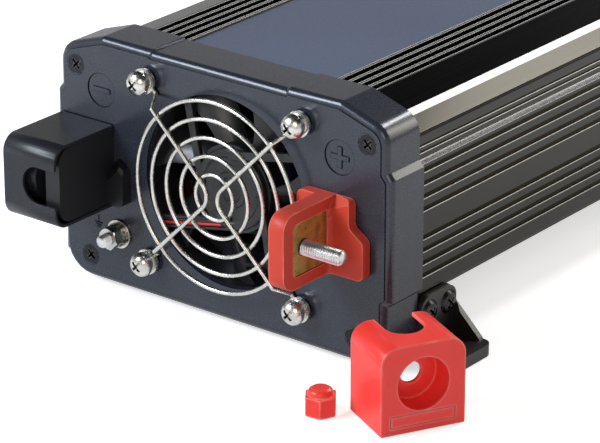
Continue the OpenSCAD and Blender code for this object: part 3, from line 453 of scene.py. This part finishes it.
# The CAD nodes by their material and the radius of their softened edges in metres
finish = {
    ("cap", 0): ("front_end_cap", "rear_end_cap"),
    ("shell", 0): ("finned_shell",),
    ("plate", 0.0003): ("bottom_plate",),
    ("panel", 0.0001): ("top_panel",),
    ("screw", 0): ("front_cap_screws", "rear_cap_screws", "bottom_plate_screws", "terminal_base_screws",
                   "foot_screws"),
    ("fan", 0): ("fan_frame", "fan_rotor"),
    ("nickel", 0): ("fan_guard", "fan_guard_screws"),
    ("base_red", 0.0005): ("positive_terminal_base",),
    ("base_black", 0.0005): ("negative_terminal_base",),
    ("bus", 0.0002): ("positive_bus_bar", "negative_bus_bar"),
    ("zinc", 0): ("positive_stud", "negative_stud", "ground_stud", "board_standoffs", "board_screws"),
    ("zinc", 0.00015): ("ground_flat_washer",),
    ("zinc", 0.0002): ("ground_nut",),
    ("dark_steel", 0): ("ground_toothed_washer",),
    ("cover_black", 0.00045): ("negative_terminal_cover",),
    ("cover_black", 0.0003): ("negative_cap_nut",),
    ("cover_red", 0.00045): ("positive_terminal_cover",),
    ("cover_red", 0.0003): ("positive_cap_nut",),
    ("foot", 0.0005): ("front_right_foot", "front_left_foot", "rear_right_foot", "rear_left_foot"),
    ("outlet", 0.0003): ("left_ac_outlet", "right_ac_outlet", "switch_body"),
    ("rocker", 0.0003): ("switch_rocker",),
    ("lens_green", 0): ("power_light",),
    ("lens_red", 0): ("fault_light",),
    ("board", 0): ("main_board",),
    ("fuse", 0): ("input_fuses",),
    ("sleeve", 0): ("input_capacitors", "bulk_capacitors"),
    ("ferrite", 0.0003): ("transformers",),
    ("copper", 0): ("output_choke",),
    ("bar", 0.0003): ("left_heat_bar", "right_heat_bar"),
    ("device", 0.0001): ("power_transistors",),
}
weld_gap = 0.000004
soften_from = math.radians(38)
smooth_below = math.radians(30)


def soften(o, radius):
    """Small rounded edges on a CAD node."""
    weld = o.modifiers.new("weld", "WELD")
    weld.merge_threshold = weld_gap
    bevel = o.modifiers.new("soften", "BEVEL")
    bevel.width = radius
    bevel.segments = 2
    bevel.limit_method = "ANGLE"
    bevel.angle_limit = soften_from
    bevel.harden_normals = True
    bevel.use_clamp_overlap = True


def smoothing():
    """A node group that welds a mesh and shades it smooth across shallow edges."""
    g = bpy.data.node_groups.new("smooth_by_angle", "GeometryNodeTree")
    for way in ("INPUT", "OUTPUT"):
        g.interface.new_socket("Geometry", in_out=way, socket_type="NodeSocketGeometry")
    weld = g.nodes.new("GeometryNodeMergeByDistance")
    weld.inputs["Distance"].default_value = weld_gap
    plain = g.nodes.new("GeometryNodeRemoveAttribute")
    plain.inputs["Name"].default_value = "custom_normal"
    faces = g.nodes.new("GeometryNodeSetShadeSmooth")
    faces.domain = "FACE"
    edges = g.nodes.new("GeometryNodeSetShadeSmooth")
    edges.domain = "EDGE"
    sharp = g.nodes.new("GeometryNodeSetShadeSmooth")
    sharp.domain = "EDGE"
    sharp.inputs["Shade Smooth"].default_value = False
    angle = g.nodes.new("GeometryNodeInputMeshEdgeAngle")
    steep = g.nodes.new("ShaderNodeMath")
    steep.operation = "GREATER_THAN"
    steep.inputs[1].default_value = smooth_below
    g.links.new(angle.outputs["Unsigned Angle"], steep.inputs[0])
    g.links.new(steep.outputs[0], sharp.inputs["Selection"])
    start = g.nodes.new("NodeGroupInput")
    end = g.nodes.new("NodeGroupOutput")
    chain = [start, weld, plain, faces, edges, sharp, end]
    for a, b in zip(chain, chain[1:]):
        g.links.new(a.outputs[0], b.inputs[0])
    return g


smooth_group = smoothing()


def smooth(o):
    """Smooth shading on rounded corners, with the normals of the large faces kept."""
    o.modifiers.new("smooth", "NODES").node_group = smooth_group
    even = o.modifiers.new("even", "WEIGHTED_NORMAL")
    even.keep_sharp = True


for (key, radius), names in finish.items():
    for name in names:
        nodes[name].data.materials.clear()
        nodes[name].data.materials.append(mats[key].material)
        if radius:
            soften(nodes[name], radius)
for name in ("front_end_cap", "rear_end_cap", "fan_guard_screws"):
    smooth(nodes[name])


# Added pieces
def add_piece(name, verts, faces, key, body, node=None, rounded=False):
    """A mesh in metres that rides on a body and may stand for a CAD node."""
    mesh = bpy.data.meshes.new(name)
    mesh.from_pydata(verts, [], faces)
    mesh.polygons.foreach_set("use_smooth", [rounded] * len(mesh.polygons))
    mesh.materials.append(mats[key].material)
    o = bpy.data.objects.new(name, mesh)
    scene.collection.objects.link(o)
    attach(o, body)
    if node:
        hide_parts(node)
    return o


def skin(rings, around, first=0):
    """Faces between neighbouring rings of points."""
    faces = []
    for i in range(rings - 1):
        near = first + i * around
        far = near + around
        for j in range(around):
            k = (j + 1) % around
            faces.append((near + j, near + k, far + k, far + j))
    return faces


def threaded_stud(node, axis, head_t, plain, r, pitch, depth):
    """A stud along an axis, from its round head to its tip, with a helical thread beyond the plain part."""
    lo, hi = (Vector(v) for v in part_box(node))
    axis = Vector(axis)
    half = (hi - lo) / 2
    reach = abs(half.dot(axis))
    head_r = (half - axis * half.dot(axis)).length / math.sqrt(2)
    head_edge = 0.0004
    base = (lo + hi) / 2 - axis * reach
    length = 2 * reach
    side = axis.orthogonal().normalized()
    up = axis.cross(side)
    around, per_turn = 40, 10
    tip_r = r - 1.3 * depth
    tip_slope = 0.9
    start = head_t + plain
    count = int((length - start) / pitch * per_turn)
    rings = [(0, head_r - head_edge), (head_edge, head_r), (head_t, head_r), (head_t, r), (start, r)]
    rings += [(start + (length - start) * (i + 1) / count, None) for i in range(count)]
    verts = []
    for z, fixed in rings:
        for j in range(around):
            turn = j / around
            radius = fixed
            if radius is None:
                saw = abs(2 * ((z / pitch - turn) % 1.0) - 1)
                radius = r - depth * min(1.0, max(0.0, 1.3 * saw - 0.15))
                radius = min(radius, tip_r + (length - z) * tip_slope)
            out = side * math.cos(2 * math.pi * turn) + up * math.sin(2 * math.pi * turn)
            verts.append(base + axis * z + out * radius)
    faces = skin(len(rings), around)
    faces.append(tuple(range(around))[::-1])
    faces.append(tuple((len(rings) - 1) * around + j for j in range(around)))
    o = add_piece(node + "_threaded", verts, faces, "thread", "inverter", node, rounded=True)
    o.modifiers.new("split", "EDGE_SPLIT").split_angle = math.radians(50)


terminal_thread = dict(head_t=0.0022, plain=0.002, r=0.00295, pitch=0.001, depth=0.0006)
ground_thread = dict(head_t=0.003, plain=0.0025, r=0.00245, pitch=0.0008, depth=0.0005)
threaded_stud("positive_stud", (1, 0, 0), **terminal_thread)
threaded_stud("negative_stud", (-1, 0, 0), **terminal_thread)
threaded_stud("ground_stud", (0, -1, 0), **ground_thread)

# The fan as the photograph shows it, with its struts to the front. The solids have it the other way round.
fan_lo, fan_hi = (Vector(v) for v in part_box("fan_frame"))
fan_mid = (fan_lo + fan_hi) / 2
fan_half = fan_hi.x - fan_mid.x
fan_depth = fan_hi.y - fan_lo.y
fan_bore = fan_half - 0.002
duct_wall = 0.0016
flange_t = 0.0036
corner_cut = 0.003
screw_off = 0.03575
screw_hole_r = 0.00215
bore_points = 96
plate_points = 72
hole_points = 20
lead_points = 12

# Four struts run at a slant past the motor plate, and the wider one has a channel for the leads
strut_tilt = math.radians(11.5)
strut_off = 0.0132
strut_start = 0.002
strut_end = math.sqrt((fan_bore + 0.0004) ** 2 - strut_off ** 2)
strut_half = 0.0016
strut_front = 0.0002
strut_back = 0.0023
strut_edge = 0.0003
channel_half = 0.0024
channel_inner = 0.0014
channel_floor = 0.0017
lip_edge = 0.0002
lead_strut = 2
lead_r = 0.0006
lead_depth = 0.0011
lead_start = 0.0075

# Section of the motor plate from its centre out and round to its back: radius, depth
motor_plate = [
    (0.0001, 0.0012), (0.0044, 0.0012), (0.005, 0.0005), (0.0066, 0.0005), (0.0071, 0.0011),
    (0.0122, 0.0011), (0.013, 0.0004), (0.0151, 0.0004), (0.0156, 0.0009), (0.0156, 0.0022),
    (0.0001, 0.0022)]


def fan_place(x, y, z):
    """A point of the fan: across, back from its front face, and up from its axis."""
    return (fan_mid.x + x, fan_lo.y + y, fan_mid.z + z)


def circle(r, n, cx=0.0, cz=0.0):
    """Points round a circle, as (across, up)."""
    turns = [2 * math.pi * i / n for i in range(n)]
    return [(cx + r * math.cos(a), cz + r * math.sin(a)) for a in turns]


class Build:
    """Vertices and faces of one piece, gathered from plates, turned forms and bars."""

    def __init__(self):
        self.verts = []
        self.faces = []

    def plate(self, outlines, front, back):
        """A flat plate: the first outline is its edge, the others are holes."""
        curve = bpy.data.curves.new("outline", "CURVE")
        curve.dimensions = "2D"
        curve.fill_mode = "BOTH"
        curve.extrude = (back - front) / 2
        for points in outlines:
            spline = curve.splines.new("POLY")
            spline.points.add(len(points) - 1)
            for point, (x, z) in zip(spline.points, points):
                point.co = (x, z, 0, 1)
            spline.use_cyclic_u = True
        o = bpy.data.objects.new("outline", curve)
        mesh = bpy.data.meshes.new_from_object(o)
        first = len(self.verts)
        self.verts += [fan_place(v.co.x, (front + back) / 2 + v.co.z, v.co.y) for v in mesh.vertices]
        self.faces += [tuple(first + i for i in reversed(face.vertices)) for face in mesh.polygons]
        bpy.data.objects.remove(o)
        bpy.data.curves.remove(curve)
        bpy.data.meshes.remove(mesh)

    def turned(self, profile, around):
        """A form turned about the fan's axis from (radius, depth) points."""
        self.faces += skin(len(profile), around, len(self.verts))
        for r, y in profile:
            self.verts += [fan_place(x, y, z) for x, z in circle(r, around)]

    def bar(self, strut, start, section):
        """A bar along a strut, out to the bore, with a closed section of (offset, depth) points."""
        first = len(self.verts)
        n = len(section)
        angle = strut_tilt + strut * math.pi / 2
        for t in (start, strut_end):
            for off, y in section:
                u = strut_off + off
                x = t * math.cos(angle) - u * math.sin(angle)
                z = t * math.sin(angle) + u * math.cos(angle)
                self.verts.append(fan_place(x, y, z))
        self.faces += skin(2, n, first)
        self.faces.append(tuple(first + i for i in reversed(range(n))))
        self.faces.append(tuple(first + n + i for i in range(n)))


def bar_section(lo, hi, front, back, edge):
    """A rectangle across a strut with its front corners taken off."""
    left = [(lo, back), (lo, front + edge), (lo + edge, front)]
    right = [(hi - edge, front), (hi, front + edge), (hi, back)]
    return left + right


def fan_stator():
    """Frame with two flanges and a duct, a motor plate with a bearing boss, and four slanted struts."""
    b = Build()
    h = fan_half
    c = corner_cut
    lower = [(-h, c - h), (c - h, -h), (h - c, -h), (h, c - h)]
    upper = [(h, h - c), (h - c, h), (c - h, h), (-h, h - c)]
    square = lower + upper
    centres = [(x, z) for x in (-screw_off, screw_off) for z in (-screw_off, screw_off)]
    holes = [circle(screw_hole_r, hole_points, x, z) for x, z in centres]
    bore = circle(fan_bore, bore_points)
    duct = circle(fan_bore + duct_wall, bore_points)
    b.plate([square, bore] + holes, 0, flange_t)
    b.plate([duct, bore], flange_t, fan_depth - flange_t)
    b.plate([square, bore] + holes, fan_depth - flange_t, fan_depth)
    b.turned(motor_plate, plate_points)
    plain = [bar_section(-strut_half, strut_half, strut_front, strut_back, strut_edge)]
    channel = [
        bar_section(-channel_half, channel_half, channel_floor, strut_back, strut_edge),
        bar_section(-channel_half, -channel_inner, strut_front, channel_floor, lip_edge),
        bar_section(channel_inner, channel_half, strut_front, channel_floor, lip_edge)]
    for strut in range(4):
        for section in channel if strut == lead_strut else plain:
            b.bar(strut, strut_start, section)
    smooth(add_piece("fan_frame_front", b.verts, b.faces, "fan", "inverter", "fan_frame"))


def fan_lead(name, off, key):
    """A short lead in the channel, off to one side of its middle."""
    b = Build()
    b.bar(lead_strut, lead_start, circle(lead_r, lead_points, off, lead_depth))
    smooth(add_piece(name, b.verts, b.faces, key, "inverter"))


def fan_turned_round():
    """The rotor of the solids, mirrored front to back behind the struts."""
    solid = nodes["fan_rotor"].data
    both = fan_lo.y + fan_hi.y
    verts = [(v.co.x, both - v.co.y, v.co.z) for v in solid.vertices]
    faces = [tuple(reversed(face.vertices)) for face in solid.polygons]
    smooth(add_piece("fan_rotor_front", verts, faces, "fan", "fan", "fan_rotor"))


fan_stator()
fan_lead("fan_lead_red", 0.0006, "lead_red")
fan_lead("fan_lead_black", -0.0007, "fan")
fan_turned_round()

# Camera at the photograph's place
photo_width = 600
focal_pixels = 3285.36
eye_place = Vector((0.7042, -1.003, 0.500))
eye_yaw = math.radians(37.996)
eye_ahead = Vector((-0.5686, 0.7278, -0.3834)).normalized()
eye_right = Vector((math.cos(eye_yaw), math.sin(eye_yaw), 0))
eye_up = eye_right.cross(eye_ahead)
camera = bpy.data.cameras.new("camera")
camera.sensor_width = 36
camera.lens = camera.sensor_width * focal_pixels / photo_width
camera.clip_end = 200
eye = bpy.data.objects.new("camera", camera)
scene.collection.objects.link(eye)
eye_turn = Matrix((eye_right, eye_up, -eye_ahead)).transposed().to_4x4()
eye.matrix_world = Matrix.Translation(eye_place) @ eye_turn
scene.camera = eye

# Floor: pale, lit, and lifted to white for the eye and for reflections
floor_half = 60
floor_drop = 0.0002
seen_lift = 0.2
camera_lift = 0.4
corners = [(-floor_half, -floor_half, 0), (floor_half, -floor_half, 0), (floor_half, floor_half, 0),
           (-floor_half, floor_half, 0)]
floor_mesh = bpy.data.meshes.new("floor")
floor_mesh.from_pydata(corners, [], [(0, 1, 2, 3)])
floor = bpy.data.objects.new("floor", floor_mesh)
floor.location.z = -floor_drop
scene.collection.objects.link(floor)
floor_material = bpy.data.materials.new("floor")
floor_mesh.materials.append(floor_material)
g = Graph(floor_material)
g.tree.nodes.clear()
ray = g.node("ShaderNodeLightPath").outputs
seen_ray = g.math("MAXIMUM", ray["Is Camera Ray"], ray["Is Glossy Ray"])
seen_ray = g.math("MAXIMUM", seen_ray, ray["Is Transmission Ray"])
more = g.math("MULTIPLY", ray["Is Camera Ray"], camera_lift)
lift = g.math("ADD", g.math("MULTIPLY", seen_ray, seen_lift), more)
glow = g.node("ShaderNodeEmission")
g.feed(lift, glow.inputs["Strength"])
paint = g.node("ShaderNodeBsdfDiffuse")
paint.inputs["Color"].default_value = (0.82, 0.82, 0.83, 1)
both = g.node("ShaderNodeAddShader")
g.feed(paint.outputs[0], both.inputs[0])
g.feed(glow.outputs[0], both.inputs[1])
g.feed(both.outputs[0], g.node("ShaderNodeOutputMaterial").inputs["Surface"])

# World: pale near the horizon, dark overhead, as in a studio with a white sweep
sweep = (0.82, 0.8, 0.76, 1)
ceiling = (0.02, 0.021, 0.026, 1)
world = bpy.data.worlds.new("studio")
scene.world = world
g = Graph(world)
g.tree.nodes.clear()
height = g.axis(g.node("ShaderNodeTexCoord").outputs["Generated"], "Z")
sky = g.node("ShaderNodeBackground")
sky.inputs["Strength"].default_value = 0.6
g.feed(g.ramp(height, [(0.4, sweep), (0.56, ceiling)]), sky.inputs["Color"])
g.feed(sky.outputs[0], g.node("ShaderNodeOutputWorld").inputs["Surface"])


def softbox(name, at, to, width, height, power, colour):
    """A rectangular lamp that faces a point."""
    lamp = bpy.data.lights.new(name, "AREA")
    lamp.shape = "RECTANGLE"
    lamp.size = width
    lamp.size_y = height
    lamp.energy = power
    lamp.color = colour
    o = bpy.data.objects.new(name, lamp)
    scene.collection.objects.link(o)
    z = (Vector(at) - Vector(to)).normalized()
    x = Vector((0, 0, 1)).cross(z).normalized()
    y = z.cross(x)
    o.matrix_world = Matrix.Translation(Vector(at)) @ Matrix((x, y, z)).transposed().to_4x4()


# The key and the fill light the whole object, and the other two are seen in the shell's facets
middle = (0.0, -0.1, 0.05)
softbox("key", at=(-0.8, -1.2, 1.0), to=middle, width=0.7, height=0.7, power=24, colour=(0.84, 0.92, 1.0))
softbox("fill", at=(0.8, -1.25, 0.8), to=middle, width=0.7, height=0.7, power=3.8, colour=(1.0, 0.94, 0.86))
softbox("strip", at=(0.17, 0.92, 0.83), to=(0.068, -0.04, 0.09), width=0.24, height=0.5, power=6.5,
        colour=(1.0, 1.0, 1.0))
softbox("warm", at=(0.62, 0.86, 0.5), to=(0.07, -0.04, 0.085), width=0.42, height=0.56, power=4.4,
        colour=(1.0, 0.95, 0.83))
